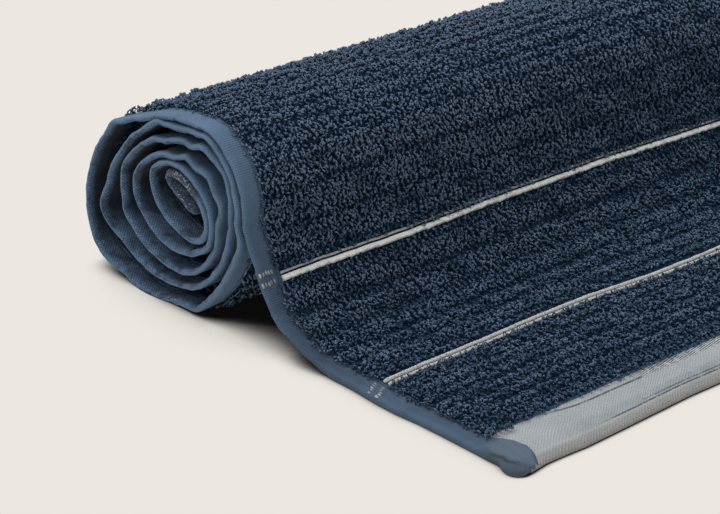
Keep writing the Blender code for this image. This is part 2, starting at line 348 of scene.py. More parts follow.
def centreline():
    """The middle of the cloth from the free edge on the floor to the end in the core."""
    here = np.array(SECTION[0][1:3])
    points = [np.array([[FREE_EDGE_Y, FREE_EDGE_Z], [BAND_CREST_Y, FLOOR_LEVEL], here])]
    for _, y, z, fullness, run in SECTION[1:]:
        there = np.array([y, z])
        if run == "straight":
            points.append(there[None, :])
        else:
            points.append(quarter_arc(here, there, fullness, run))
        here = there
    points.append(np.array([CORE_END]))
    return np.concatenate(points)


def lengths_along(line):
    """Distance of each point of a line from its start."""
    steps = np.linalg.norm(np.diff(line, axis=0), axis=1)
    return np.concatenate([[0.0], np.cumsum(steps)])


def rounded(line, passes=27, step=0.001):
    """The same path with its joints eased, so that no bend is tighter than the cloth allows."""
    along = lengths_along(line)
    places = np.linspace(0.0, along[-1], int(along[-1] / step))
    fine = np.stack([np.interp(places, along, line[:, axis]) for axis in (0, 1)], axis=1)
    for _ in range(passes):
        fine[1:-1] = 0.25 * fine[:-2] + 0.5 * fine[1:-1] + 0.25 * fine[2:]
    return fine


class ClothPath:
    """The middle of the cloth in the plane across the roll: its places, normals and free room."""

    def __init__(self):
        line = rounded(centreline())
        self.along = lengths_along(line)
        self.length = self.along[-1]
        run = np.gradient(line, axis=0)
        self.run = run / np.linalg.norm(run, axis=1)[:, None]
        self.normal = np.stack([-self.run[:, 1], self.run[:, 0]], axis=1)
        self.line = line
        self.shift_y = LOW.y - FREE_EDGE_Y
        self.room = {side: self.measure_room(side) for side in (1, -1)}

    def measure_room(self, side):
        """Distance to the next turn or to the floor, on the outer (1) or inner (-1) side."""
        gap = self.line[None, :, :] - self.line[:, None, :]
        distance = np.linalg.norm(gap, axis=2)
        path = np.abs(self.along[None, :] - self.along[:, None])
        facing = np.einsum("ijk,ik->ij", gap, self.normal) * side
        other_turn = (path > 1.8 * distance + 0.003) & (facing > 0.3 * distance)
        room = np.where(other_turn, distance, 1.0).min(axis=1) / 2.0
        downward = -self.normal[:, 1] * side
        floor = np.where(downward > 0.05, self.line[:, 1] / np.maximum(downward, 0.05), 1.0)
        return np.minimum(room, floor)

    def look_up(self, places, values):
        return np.interp(places, self.along, values)

    def pair(self, places, values):
        """The two columns of values at places along the cloth."""
        return np.stack([self.look_up(places, values[:, axis]) for axis in (0, 1)], axis=-1)

    def free_room(self, places, side):
        """How far the cloth may reach to that side of its middle."""
        return self.look_up(places, self.room[side]) - CLEAR


PATH = ClothPath()


def look_up(table, places, column=1):
    """A column of a table, read by its first column."""
    rows = np.array(table)
    return np.interp(places, rows[:, 0], rows[:, column])


def soft_noise(x, s, scale, seed, waves=6):
    """Smooth unevenness between about -1 and 1, the same at each run."""
    draw = np.random.default_rng(seed)
    angles = draw.uniform(0.0, 2.0 * pi, waves)
    pitches = scale * draw.uniform(0.6, 1.6, waves)
    phases = draw.uniform(0.0, 2.0 * pi, waves)
    total = 0.0
    for angle, pitch, phase in zip(angles, pitches, phases):
        total = total + np.sin(2.0 * pi * (x * np.cos(angle) + s * np.sin(angle)) / pitch + phase)
    return total / (0.62 * waves)


def smooth(value, low, high):
    """0 below low, 1 above high and a soft step between."""
    t = np.clip((value - low) / (high - low), 0.0, 1.0)
    return t * t * (3.0 - 2.0 * t)


def kinked(x, s):
    """How far the kinks move the cloth outward and along x."""
    near = np.exp(-((x - LOW.x) / KINK_REACH) ** 2)
    far = np.exp(-((HIGH.x - x) / KINK_REACH) ** 2)
    outward = np.zeros_like(s)
    endward = np.zeros_like(s)
    for place, half, out, end in KINKS:
        near_bump = np.exp(-((s * 1000.0 - place) / half) ** 2) * near
        far_bump = np.exp(-((s * 1000.0 - 7.0 - place) / half) ** 2) * far * 0.8
        outward += (near_bump + far_bump) * out / 1000.0
        endward += (far_bump - near_bump) * end / 1000.0
    small = (soft_noise(x * 0.3, s, 0.009, 11) * 0.00024 + soft_noise(x * 0.3, s, 0.0036, 12) * 0.00012)
    small = small * (near + far)
    return outward + small, endward


def place(x, s, offset, sizes):
    """Points of the cloth at x across it and s along it, offset from its middle."""
    x, s, offset = np.broadcast_arrays(np.asarray(x, float), np.asarray(s, float), offset)
    y, z = np.moveaxis(PATH.pair(s, PATH.line), -1, 0)
    ny, nz = np.moveaxis(PATH.pair(s, PATH.normal), -1, 0)
    outward, endward = kinked(x, s)
    reach = offset + outward
    y = y + np.minimum(s, 0.0) + ny * reach
    z = z + nz * reach
    at_rim = 1.0 - smooth(np.minimum(x - LOW.x, HIGH.x - x), 0.0, RIM_EASE)
    z = z - sizes.droop * at_rim * (1.0 - smooth(s, 0.082, 0.108)) * smooth(s, 0.004, 0.030)
    x_moved = x + endward - np.sign(x) * look_up(RIM_PULL, s) * at_rim
    lean, swell = (look_up(UNEVENNESS, x, column) for column in (1, 2))
    y = y + lean * z / PATH.line[:, 1].max() + PATH.shift_y
    y = y + look_up(EDGE_WAVE, x) * (1.0 - smooth(s, 0.0, 0.020))
    z = np.maximum(z * (1.0 + swell), 0.0)
    return np.stack([x_moved, y, z], axis=-1)


# ---------------------------------------------------------------- node graphs

class Value:
    """A socket's value, which can stand in sums and products."""

    def __init__(self, graph, socket):
        self.graph = graph
        self.socket = socket

    def maths(self, operation, first, second):
        return self.graph.node("ShaderNodeMath", {0: first, 1: second}, operation=operation)

    def __add__(self, other):
        return self.maths("ADD", self, other)

    def __radd__(self, other):
        return self.maths("ADD", other, self)

    def __sub__(self, other):
        return self.maths("SUBTRACT", self, other)

    def __rsub__(self, other):
        return self.maths("SUBTRACT", other, self)

    def __mul__(self, other):
        return self.maths("MULTIPLY", self, other)

    def __rmul__(self, other):
        return self.maths("MULTIPLY", other, self)

    def __gt__(self, other):
        return self.maths("GREATER_THAN", self, other)

    def __lt__(self, other):
        return self.maths("LESS_THAN", self, other)


class Graph:
    """A node tree that is written as expressions."""

    def __init__(self, tree):
        self.tree = tree
        tree.nodes.clear()

    def node(self, kind, inputs=None, output=0, **settings):
        """Adds a node: its settings first, then the values or links of its sockets."""
        made = self.tree.nodes.new(kind)
        for name, value in settings.items():
            setattr(made, name, value)
        for key, value in (inputs or {}).items():
            self.feed(made.inputs[key], value)
        return Value(self, made.outputs[output]) if len(made.outputs) else made

    def feed(self, socket, value):
        if isinstance(value, Value):
            self.tree.links.new(value.socket, socket)
        elif socket.type == "RGBA":
            socket.default_value = (*value, 1.0)
        else:
            socket.default_value = value

    def sine(self, value, pitch):
        """A wave of the given pitch, from 0 to 1."""
        turn = value * (2.0 * pi / pitch)
        return self.node("ShaderNodeMath", {0: turn}, operation="SINE") * 0.5 + 0.5

    def least(self, first, second):
        return self.node("ShaderNodeMath", {0: first, 1: second}, operation="MINIMUM")

    def attribute(self, name):
        return self.node("ShaderNodeAttribute", output=2, attribute_name=name)

    def between(self, value, low, high, ease):
        """1 between low and high and 0 outside, with soft edges."""
        rise = self.ramp(value, low - ease, low + ease)
        fall = self.ramp(value, high - ease, high + ease)
        return rise - fall

    def ramp(self, value, low, high, first=0.0, last=1.0):
        """A soft step from first at low to last at high."""
        inputs = {"Value": value, "From Min": low, "From Max": high, "To Min": first, "To Max": last}
        return self.node("ShaderNodeMapRange", inputs, interpolation_type="SMOOTHSTEP")

    def mix(self, share, first, second):
        """Colour that goes from first to second."""
        inputs = {0: share, 6: first, 7: second}
        return self.node("ShaderNodeMix", inputs, output=2, data_type="RGBA", clamp_factor=True)

    def scaled(self, tint, factor):
        """A colour made brighter or darker."""
        inputs = {0: tint, "Scale": factor}
        return self.node("ShaderNodeVectorMath", inputs, operation="SCALE")

    def noise(self, where, scale, detail=2.0):
        inputs = {"Vector": where, "Scale": scale, "Detail": detail, "Roughness": 0.55}
        return self.node("ShaderNodeTexNoise", inputs)


def cotton(name, paint, sheen, gloss=0.25):
    """A cotton finish. paint(graph) gives its colour, its height in metres and how strongly it shows."""
    material = bpy.data.materials.new(name)
    material.use_nodes = True
    graph = Graph(material.node_tree)
    tint, height, strength = paint(graph)
    bump = graph.node("ShaderNodeBump", {"Height": height, "Strength": strength, "Distance": 1.0})
    shader = graph.node("ShaderNodeBsdfPrincipled", {
        "Base Color": tint, "Roughness": 0.93, "Normal": bump,
        "Sheen Weight": sheen, "Sheen Roughness": 0.6, "Specular IOR Level": gloss})
    graph.node("ShaderNodeOutputMaterial", {"Surface": shader})
    return material


def cloth_place(graph):
    """x and s of a point on the cloth, from its UV map in metres."""
    flat = graph.node("ShaderNodeUVMap", uv_map="cloth")
    apart = graph.tree.nodes.new("ShaderNodeSeparateXYZ")
    graph.feed(apart.inputs[0], flat)
    return Value(graph, apart.outputs["X"]), Value(graph, apart.outputs["Y"])


def object_place(graph):
    return graph.node("ShaderNodeTexCoord", output=3)


def terry_finish(colours):
    """Loops: dark navy at the root as painted shade, greyer at the top, uneven from loop to loop."""
    def paint(graph):
        where = object_place(graph)
        reach = graph.attribute("reach")
        tone_and_painted_light = graph.attribute("tone_and_painted_light")
        patches = graph.noise(where, 26.0)
        fibres = graph.noise(where, 3600.0)
        # Painted shade and light: the colour runs from the dark root up to the tip, times the loops' tone,
        # which carries painted light too.
        level = graph.ramp(reach, 0.00, 0.95) * tone_and_painted_light * (1.0 + (patches - 0.5) * 0.40)
        level = level + (fibres - 0.5) * 0.16
        low = graph.mix(level, colours.root, colours.middle)
        high = graph.mix(level, colours.middle, colours.tip)
        return graph.mix(level, low, high), fibres * 0.00010, 0.8
    return cotton("navy terry loops", paint, 0.0, 0.04)


def ground_finish(colours, sizes):
    """The ground between the loops, and the plain strip beside each band."""
    def paint(graph):
        where = object_place(graph)
        s = cloth_place(graph)[1]
        crumb = graph.noise(where, 620.0, 3.0)
        fine = graph.noise(where, 2600.0)
        end = graph.least(s, PATH.length - s)
        strip = 1.0 - graph.ramp(end, sizes.plain + 0.0008, sizes.plain + 0.0018)
        # The pile's ground takes the loops' root colour, which is painted shade deep in the pile.
        pile = graph.mix(graph.ramp(crumb, 0.40, 0.75), colours.root, colours.hem_dark)
        tint = graph.mix(strip, pile, graph.mix(crumb, colours.hem_dark, colours.hem))
        return graph.scaled(tint, 1.30 + (fine - 0.5) * 0.8), crumb * 0.0012 + fine * 0.0002, 0.7
    return cotton("navy terry ground", paint, 0.0, 0.06)


def hem_finish(colours):
    """The flat-woven side hem: fine cross lines outside, a coarser dark reverse, specks at the core."""
    def paint(graph):
        where = object_place(graph)
        x, s = cloth_place(graph)
        from_rim = HIGH.x - graph.node("ShaderNodeMath", {0: x}, operation="ABSOLUTE")
        patches = graph.noise(where, 75.0)
        blots = graph.noise(where, 190.0)
        fine = graph.noise(where, 2400.0, 3.0)
        ragged = (patches - 0.5) * 0.0024 + (fine - 0.5) * 0.0010
        cross = graph.sine(s + (fine - 0.5) * 0.00036, 0.00075)
        along = graph.sine(x + (fine - 0.5) * 0.00030, 0.00070)
        threads = cross * 0.65 + along * 0.35
        seam = graph.between(from_rim, 0.0069, 0.0076, 0.0003)
        shade = (1.0 - threads) * 0.60 + (patches - 0.5) * 0.70 + (fine - 0.5) * 0.95
        face = graph.mix(shade + seam * 0.45, colours.hem, colours.hem_dark)
        # Painted light and shade: lighter at the rim and up the fall and over the roll, darker near the
        # foot of the fall.
        rim = 1.0 - graph.ramp(from_rim + (blots - 0.5) * 0.0016, 0.0008, 0.0022)
        light = 1.0 + rim * 0.16 + graph.ramp(s, 0.112, 0.180) * 0.68
        light = light - graph.between(s, 0.078, 0.106, 0.018) * 0.28
        # The thick corner's colour, on which hem_corner paints light and shade.
        corner_colour = graph.mix(shade * 0.8 + (blots - 0.5) * 0.6, colours.corner, colours.hem)
        face, crease = hem_corner(graph, colours, graph.scaled(face, light), corner_colour, s, from_rim, ragged)
        shadow = graph.ramp(blots + (patches - 0.5) * 0.5, 0.42, 0.66)
        back, canvas = hem_reverse(graph, colours, where, x, s, from_rim, blots, shadow)
        reverse = graph.attribute("reverse") * graph.ramp(s, 0.0850, 0.1000)
        tint = graph.mix(graph.ramp(reverse, 0.45, 0.90), face, back)
        at_rim = 1.0 - graph.ramp(from_rim + ragged, 0.0014, 0.0026)
        core = graph.ramp(s, PATH.length - 0.036, PATH.length - 0.032) * at_rim
        specks = graph.ramp(graph.noise(where, 1400.0), 0.52, 0.64) * (1.0 - shadow * 0.80)
        pale = graph.mix(specks, colours.hem_dark, colours.speck)
        height = threads * 0.00014 + fine * 0.00016 + canvas * reverse * 0.00018 - seam * 0.0003
        return graph.mix(core, tint, pale), height - crease * 0.0005, 0.9
    return cotton("slate flat-woven hem", paint, 0.08)


def hem_corner(graph, colours, face, corner_colour, s, from_rim, ragged):
    """Goes over to the thick corner, with the crease along its wall and a dark inner edge."""
    end = graph.least(s, PATH.length - s)
    corner = 1.0 - graph.ramp(end, 0.0145, 0.0225)
    to_crease = 0.0150 - end
    wall = from_rim - 0.0008 - to_crease * to_crease * 27.0
    # Painted light and shade: the corner is lighter on its dome, darker on its lower wall and in the
    # crease.
    lit = graph.ramp(wall, -0.0006, 0.0030, 0.66, 1.12)
    crease = graph.between(wall, -0.0006, 0.0007, 0.0007) * graph.between(end, 0.0042, 0.0145, 0.0018)
    corner_colour = graph.scaled(corner_colour, lit * (1.0 - crease * 0.48))
    face = graph.mix(corner, face, corner_colour)
    edge = graph.least(0.0098 + end * 0.66, 0.0146)
    inner_edge = graph.ramp(from_rim + ragged - edge, -0.0016, 0.0000)
    inner_edge = inner_edge * (1.0 - graph.ramp(end, 0.0100, 0.0140))
    return graph.mix(inner_edge * 0.75, face, colours.hem_dark), crease * corner


def hem_reverse(graph, colours, where, x, s, from_rim, blots, shadow):
    """The coarse canvas of the hem's inner face, in painted shade: blotchy, and darker away from the light.
    """
    weave = graph.sine(s + x, 0.00115) * graph.sine(s - x, 0.00115)
    canvas = graph.ramp(weave + (graph.noise(where, 1100.0) - 0.5) * 2.0, 0.05, 0.75)
    # Painted shade on the walls inside the roll that face away from the painted light's side, deeper in
    # from the rim.
    facing_painted_light = graph.ramp(graph.attribute("sky") + (blots - 0.5) * 1.2, -0.30, 0.55, 0.22, 1.0)
    depth = graph.ramp(from_rim, 0.0006, 0.0036)
    # Painted light and shade: the reverse is brightened, darker in the shadow blotches and deeper in from
    # the rim.
    light = (2.20 - shadow * 1.20 - depth * 0.35) * (1.0 - (1.0 - facing_painted_light) * depth)
    return graph.scaled(graph.mix(canvas, colours.hem_dark, colours.hem), light), canvas


def band_finish(colours, sizes):
    """The pale band: slanted fine ribs, dark threads that come and go, a browner painted shade on the fold.
    """
    def paint(graph):
        where = object_place(graph)
        x, s = cloth_place(graph)
        end = graph.least(s, PATH.length - s)
        fine = graph.noise(where, 1900.0, 3.0)
        patches = graph.noise(where, 70.0)
        drift = (fine - 0.5) * 0.00050 + (patches - 0.5) * 0.0040
        ribs = graph.sine(x - end * 1.05 + drift, 0.00130)
        picks = graph.sine(end + (fine - 0.5) * 0.0002, 0.00070)
        bright = 0.83 + ribs * 0.15 + picks * 0.08 + (fine - 0.5) * 0.62 + (patches - 0.5) * 0.34
        lower = graph.between(end, 0.0050, 0.0105, 0.0015) * graph.ramp(x, -0.235, -0.205)
        bright = bright - lower * (0.10 + graph.ramp(graph.noise(where, 260.0), 0.40, 0.60) * 0.10)
        # Painted shade: the folded edge goes over to the brownish grey of the fold colour.
        fold = 1.0 - graph.ramp(end, sizes.band_fold * 0.45, sizes.band_fold * 1.05)
        tint = graph.scaled(graph.mix(fold * 0.85, colours.band, colours.band_fold), bright)
        upper = graph.ramp(end, 0.0170, 0.0186) * graph.ramp(x, -0.192, -0.165)
        twill = graph.sine(end - x * 0.20 + (fine - 0.5) * 0.0002, 0.00085)
        strokes = graph.ramp(graph.noise(where, 620.0), 0.34, 0.50)
        dark = dark_threads(graph, where, x, end, patches)
        dark = dark + upper * graph.ramp(twill, 0.40, 0.75) * strokes
        tint = graph.scaled(tint, 1.0 + upper * (1.0 - twill) * 0.35)
        tint = graph.mix(dark, tint, colours.band_dark)
        specks = graph.ramp(graph.noise(where, 1500.0), 0.50, 0.62)
        back = graph.mix(specks, colours.hem_dark, colours.hem)
        height = ribs * 0.00018 + picks * 0.00007 + fine * 0.00008 - dark * 0.00022
        underside = graph.ramp(graph.attribute("reverse"), 0.80, 0.98) * graph.ramp(end, 0.0030, 0.0042)
        return graph.mix(underside, tint, back), height, 0.9
    return cotton("pale ribbed band", paint, 0.10)


def dark_threads(graph, where, x, end, patches):
    """Three dark lines along the band: a bent one near the pile and two beside the fold."""
    broken = graph.ramp(graph.noise(where, 520.0), 0.36, 0.52)
    upper_end = 0.0184 + (1.0 - graph.ramp(x, -0.230, -0.203)) * 0.0040 + (patches - 0.5) * 0.0008
    near_line = graph.between(end - upper_end, -0.0004, 0.0004, 0.00025)
    near_line = near_line * graph.ramp(x, -0.226, -0.205, 0.35, 1.0) * (x < -0.1780) * (x > -0.2330)
    edge_line = graph.between(end, 0.00475, 0.00555, 0.00025) * graph.ramp(x, -0.214, -0.198)
    next_line = graph.between(end, 0.00645, 0.00715, 0.00025) * graph.ramp(x, -0.196, -0.176)
    dark = near_line * (0.60 + broken * 0.40) + edge_line * (0.45 + broken * 0.55)
    return dark + next_line * (0.35 + broken * 0.50)


def stripe_finish(colours):
    """Off-white yarn of the stripes, brighter on the thick line than on the thin ones."""
    def paint(graph):
        where = object_place(graph)
        tone_and_painted_light = graph.attribute("tone_and_painted_light")
        fibres = graph.noise(where, 2600.0, 3.0)
        patches = graph.noise(where, 140.0)
        bright = tone_and_painted_light * (1.0 + (fibres - 0.5) * 0.55 + (patches - 0.5) * 0.30)
        tint = graph.node("ShaderNodeVectorMath", {0: tuple(colours.stripe), "Scale": bright},
                          operation="SCALE")
        return tint, fibres * 0.00014, 0.7
    return cotton("off-white stripe yarn", paint, 0.10)


# Soft shadows on the ground, wide beside the roll and narrow along the flat cloth.
# columns: reach (metres), side that the light comes from, range of open sky, share in the darkest
SHADOWS = (
    (0.080, (-0.28, 0.25, 0.93), (0.30, 0.80), 0.0),
    (0.009, (0.12, -0.12, 0.98), (0.30, 1.00), 0.4),
)
DEEPEST_SHADE = (0.003, 0.003, 0.003)
FLOOR_SIZE, FLOOR_DROP = 12.0, 0.0002      # the ground lies a little below the cloth
LAMP_WIDTH = radians(50.0)
LAMP_TURN = (radians(-22.0), radians(-10.0), 0.0)
SENSOR_WIDTH = 36.0        # millimetres


def floor_finish(colours):
    """An evenly lit ground, like a light table, with soft contact shadows close to the cloth."""
    material = bpy.data.materials.new("warm white ground")
    material.use_nodes = True
    graph = Graph(material.node_tree)
    light = 1.0
    for reach, side, (low, high), least in SHADOWS:
        facing = graph.node("ShaderNodeCombineXYZ", dict(enumerate(side)))
        open_sky = graph.node("ShaderNodeAmbientOcclusion", {"Distance": reach, "Normal": facing},
                              output=1, samples=16)
        light = graph.ramp(open_sky, low, high, least) * light
    lit = graph.mix(light, DEEPEST_SHADE, colours.floor)
    shader = graph.node("ShaderNodeBsdfPrincipled", {
        "Base Color": (0.0, 0.0, 0.0), "Roughness": 1.0, "Specular IOR Level": 0.0,
        "Emission Color": lit, "Emission Strength": 1.0})
    graph.node("ShaderNodeOutputMaterial", {"Surface": shader})
    return material


# ---------------------------------------------------------------- meshes of the flat weaves

def link(name, mesh, material):
    """A new piece in the scene, with its material."""
    piece = bpy.data.objects.new(name, mesh)
    bpy.context.scene.collection.objects.link(piece)
    mesh.materials.clear()
    mesh.materials.append(material)
    return piece


def slab(x, s, outer, inner, sizes, marks=(0.0, 1.0)):
    """One closed shell of cloth: x, s and its two faces' offsets are grids of the same shape.

    marks are the values of the outer and the inner face in the mesh's own attribute.
    """
    rows, columns = x.shape
    faces = []
    count = rows * columns
    for i in range(rows - 1):
        for j in range(columns - 1):
            a = i * columns + j
            b, c, d = a + 1, a + columns + 1, a + columns
            faces.append((a, b, c, d))
            faces.append((a + count, d + count, c + count, b + count))
    rim = [i * columns for i in range(rows)]
    rim += [(rows - 1) * columns + j for j in range(1, columns)]
    rim += [i * columns + columns - 1 for i in range(rows - 2, -1, -1)]
    rim += list(range(columns - 2, 0, -1))
    for a, b in zip(rim, rim[1:] + rim[:1]):
        faces.append((a, b, b + count, a + count))
    points = np.concatenate([place(x, s, outer, sizes).reshape(-1, 3),
                             place(x, s, -inner, sizes).reshape(-1, 3)])
    flat = np.stack([x.ravel(), s.ravel()], axis=1)
    return points, faces, np.concatenate([flat, flat]), np.repeat(marks, count)


def shells_to_mesh(name, shells, attribute="reverse"):
    """One mesh of closed shells. Its UV map holds x and s in metres, its attribute the faces' marks."""
    mesh = bmesh.new()
    layer = mesh.loops.layers.uv.new("cloth")
    mark = mesh.verts.layers.float.new(attribute)
    for points, faces, flat, inner in shells:
        corners = [mesh.verts.new(point) for point in points]
        for corner, side in zip(corners, inner):
            corner[mark] = side
        for face in faces:
            made = mesh.faces.new([corners[i] for i in face])
            made.smooth = True
            for loop, i in zip(made.loops, face):
                loop[layer].uv = flat[i]
    bmesh.ops.remove_doubles(mesh, verts=mesh.verts[:], dist=0.00001)
    bmesh.ops.dissolve_degenerate(mesh, edges=mesh.edges[:], dist=0.000001)
    bmesh.ops.recalc_face_normals(mesh, faces=mesh.faces[:])
    data = bpy.data.meshes.new(name)
    mesh.to_mesh(data)
    mesh.free()
    return data


def ground_mesh(sizes):
    """The ground cloth between the hems, on both faces, thin where the hems and bands take over."""
    half = sizes.width / 2.0
    thin = 0.00045
    inset = sizes.hem - 0.0012
    near = np.array([0.0, 0.0020, 0.0050, 0.0100]) + inset - half
    middle = np.linspace(near[-1] + 0.0180, -near[-1] - 0.0180, 24)
    across = np.concatenate([near, middle, -near[::-1]])
    start = sizes.band - 0.0015
    along = np.linspace(start, PATH.length - start, int((PATH.length - 2.0 * start) / sizes.step))
    x, s = np.meshgrid(across, along)
    edge = smooth(np.minimum(x + half, half - x), inset, sizes.hem + 0.0010)
    end = smooth(np.minimum(s, PATH.length - s), start, sizes.plain)
    outer = thin + (sizes.ground_half - thin) * edge * end
    lying = 1.0 - smooth(s, 0.085, 0.125)
    inner = sizes.wound_half + (sizes.underside - sizes.wound_half) * lying
    inner = thin + (inner - thin) * edge * end
    outer = np.minimum(outer, PATH.free_room(s, 1))
    inner = np.minimum(inner, PATH.free_room(s, -1))
    return shells_to_mesh("cloth", [slab(x, s, outer, inner, sizes)])


def hem_mesh(sizes):
    """The two side hems: a folded strip with a rounded rim, wider, thicker and creased at the corners."""
    half = sizes.width / 2.0
    # columns: share of the hem's width from the rim, share of the half thickness
    profile = np.array([(0.0, 0.0), (0.012, 0.42), (0.040, 0.72), (0.090, 0.93), (0.180, 1.0),
                        (0.290, 0.96), (0.390, 0.94), (0.520, 0.92), (0.660, 0.94), (0.780, 0.90),
                        (0.830, 0.76), (0.890, 0.92), (0.960, 0.90), (0.985, 0.70), (1.0, 0.15)])
    along = np.concatenate([[0.0, 0.0002, 0.0005, 0.0010], np.arange(0.0018, 0.0300, 0.0009),
                            np.arange(0.0300, PATH.length - 0.0010, 0.0015),
                            PATH.length - np.array([0.0010, 0.0004, 0.0])])
    shells = []
    for sign in (-1.0, 1.0):
        part, s = np.meshgrid(profile[:, 0], along)
        share = np.meshgrid(profile[:, 1], along)[0]
        to_end = np.minimum(s, PATH.length - s)
        wide = look_up(HEM_WIDTHS, to_end)
        turn = np.clip(to_end / sizes.corner_round, 0.0, 1.0)
        cut = sizes.corner_round * (1.0 - np.sqrt(1.0 - (1.0 - turn) ** 2))
        from_rim = cut + (wide - cut) * part
        x = sign * (half - from_rim)
        tip = np.sqrt(1.0 - (1.0 - np.clip(to_end / 0.0014, 0.0, 1.0)) ** 2)
        corner = 1.0 - smooth(to_end, 0.013, 0.023)
        core = smooth(s, PATH.length - 0.045, PATH.length - 0.030)
        dome = np.exp(-((part - 0.58) / 0.30) ** 2) * corner * smooth(to_end, 0.0, 0.004)
        fold = np.exp(-((from_rim - look_up(CORNER_CREASE, to_end)) / 0.0007) ** 2)
        fold = fold * smooth(to_end, 0.0015, 0.0040) * (1.0 - smooth(to_end, 0.0105, 0.0135))
        uneven = 0.12 * soft_noise(x, s, 0.012, 5) + 0.06 * soft_noise(x, s, 0.004, 6)
        thick = sizes.hem_half * (1.0 + uneven)
        thick = thick + sizes.core_hem * core + sizes.corner_dome * (dome - 0.5 * fold)
        to_floor = PATH.look_up(s, PATH.line[:, 1]) - 0.00005
        outer = np.minimum(thick, PATH.free_room(s, 1)) * share * tip
        on_floor = (1.0 - smooth(s, 0.078, 0.094)) * (1.0 - smooth(part, 0.45, 0.80))
        on_floor = np.maximum(on_floor, 1.0 - smooth(s, 0.012, 0.024))
        under = np.where((part > 0.0) & (part < 1.0), share + (1.0 - share) * on_floor, share)
        inner = np.minimum(thick, PATH.free_room(s, -1))
        inner = (inner + (to_floor - inner) * on_floor) * under * tip
        shells.append(slab(x, s, outer, inner, sizes))
    data = shells_to_mesh("side_hems", shells)
    # How far each point faces the side of the painted light, for the painted shade on the walls inside the
    # roll.
    normals = np.empty(3 * len(data.vertices))
    data.vertices.foreach_get("normal", normals)
    facing = normals.reshape(-1, 3) @ np.array(PAINTED_LIGHT_SIDE)
    data.attributes.new("sky", "FLOAT", "POINT").data.foreach_set("value", facing)
    return data


def band_mesh(sizes):
    """The two end bands, each with its own folded edge."""
    half = sizes.width / 2.0 - 0.0055
    across = np.linspace(-half, half, 124)
    # columns: distance from the end, share of the half thickness
    profile = np.array([(0.0, 0.0), (0.00010, 0.45), (0.0004, 0.85), (0.0009, 1.15), (0.0020, 1.40),
                        (0.0036, 1.38), (0.0044, 1.18), (0.0049, 0.92), (0.0060, 0.98), (0.0100, 1.0),
                        (0.0150, 0.98), (0.0190, 0.95), (sizes.band, 0.80), (sizes.band + 0.0010, 0.45)])
    shells = []
    for at_core in (False, True):
        x, end = np.meshgrid(across, profile[:, 0])
        share = np.meshgrid(across, profile[:, 1])[1]
        s = PATH.length - end if at_core else end
        pucker = 1.0 + 0.10 * soft_noise(x, s, 0.013, 3)
        beside_hem = 1.0 - smooth(sizes.width / 2.0 - np.abs(x), 0.0110, 0.0200)
        share = share - np.maximum(share - 0.80, 0.0) * beside_hem
        outer = np.minimum(sizes.band_half * share * pucker, PATH.free_room(s, 1))
        under = np.where((s > 0.0) & (s < 0.0036), 1.4, share)
        inner = np.minimum(sizes.band_half * under, PATH.free_room(s, -1))
        shells.append(slab(x, s, outer, inner, sizes))
    return shells_to_mesh("end_bands", shells)


# ---------------------------------------------------------------- loops and stitches

# Shapes that a loop of the pile takes, in shares of its span and rise.
# columns: forward lean of its top, sideways curl of its top, height
LOOP_SHAPES = ((-1.15, 0.7, 0.66), (-0.80, -1.0, 0.78), (-0.4, 1.2, 0.90), (0.9, -0.8, 0.80))
STITCH_SHAPES = ((0.0, 0.0, 1.00), (0.05, 0.04, 0.92))


def loop_tree(name, segments, sides, shapes):
    """Geometry nodes that stand one small loop of yarn on each point, turned and sized by it."""
    tree = bpy.data.node_groups.new(name, "GeometryNodeTree")
    sockets = (("Geometry", "NodeSocketGeometry", None), ("Span", "NodeSocketFloat", 0.001),
               ("Rise", "NodeSocketFloat", 0.002), ("Yarn", "NodeSocketFloat", 0.0008),
               ("Sink", "NodeSocketFloat", 0.0003), ("Turn", "NodeSocketFloat", 0.6),
               ("Lean", "NodeSocketFloat", 0.4), ("Seed", "NodeSocketInt", 1),
               ("Finish", "NodeSocketMaterial", None))
    for label, kind, default in sockets:
        socket = tree.interface.new_socket(name=label, in_out="INPUT", socket_type=kind)
        if default is not None:
            socket.default_value = default
    tree.interface.new_socket(name="Geometry", in_out="OUTPUT", socket_type="NodeSocketGeometry")
    graph = Graph(tree)
    given = tree.nodes.new("NodeGroupInput")
    want = {label: Value(graph, given.outputs[label]) for label, kind, default in sockets}
    choice = tree.nodes.new("GeometryNodeGeometryToInstance")
    for lean, curl, height in reversed(shapes):
        tree.links.new(one_loop(graph, want, segments, sides, lean, curl, height).socket, choice.inputs[0])
    tall = graph.node("GeometryNodeInputNamedAttribute", {"Name": "rise"}, data_type="FLOAT")
    wide = graph.node("GeometryNodeInputNamedAttribute", {"Name": "girth"}, data_type="FLOAT")
    size = graph.node("ShaderNodeCombineXYZ", {0: wide, 1: wide, 2: tall})
    loops = graph.node("GeometryNodeInstanceOnPoints", {
        "Points": want["Geometry"], "Instance": Value(graph, choice.outputs[0]),
        "Pick Instance": True, "Rotation": loop_rotation(graph, want), "Scale": size})
    real = graph.node("GeometryNodeRealizeInstances", {"Geometry": loops})
    finished = graph.node("GeometryNodeSetMaterial", {"Geometry": real, "Material": want["Finish"]})
    graph.node("NodeGroupOutput", {"Geometry": finished})
    return tree


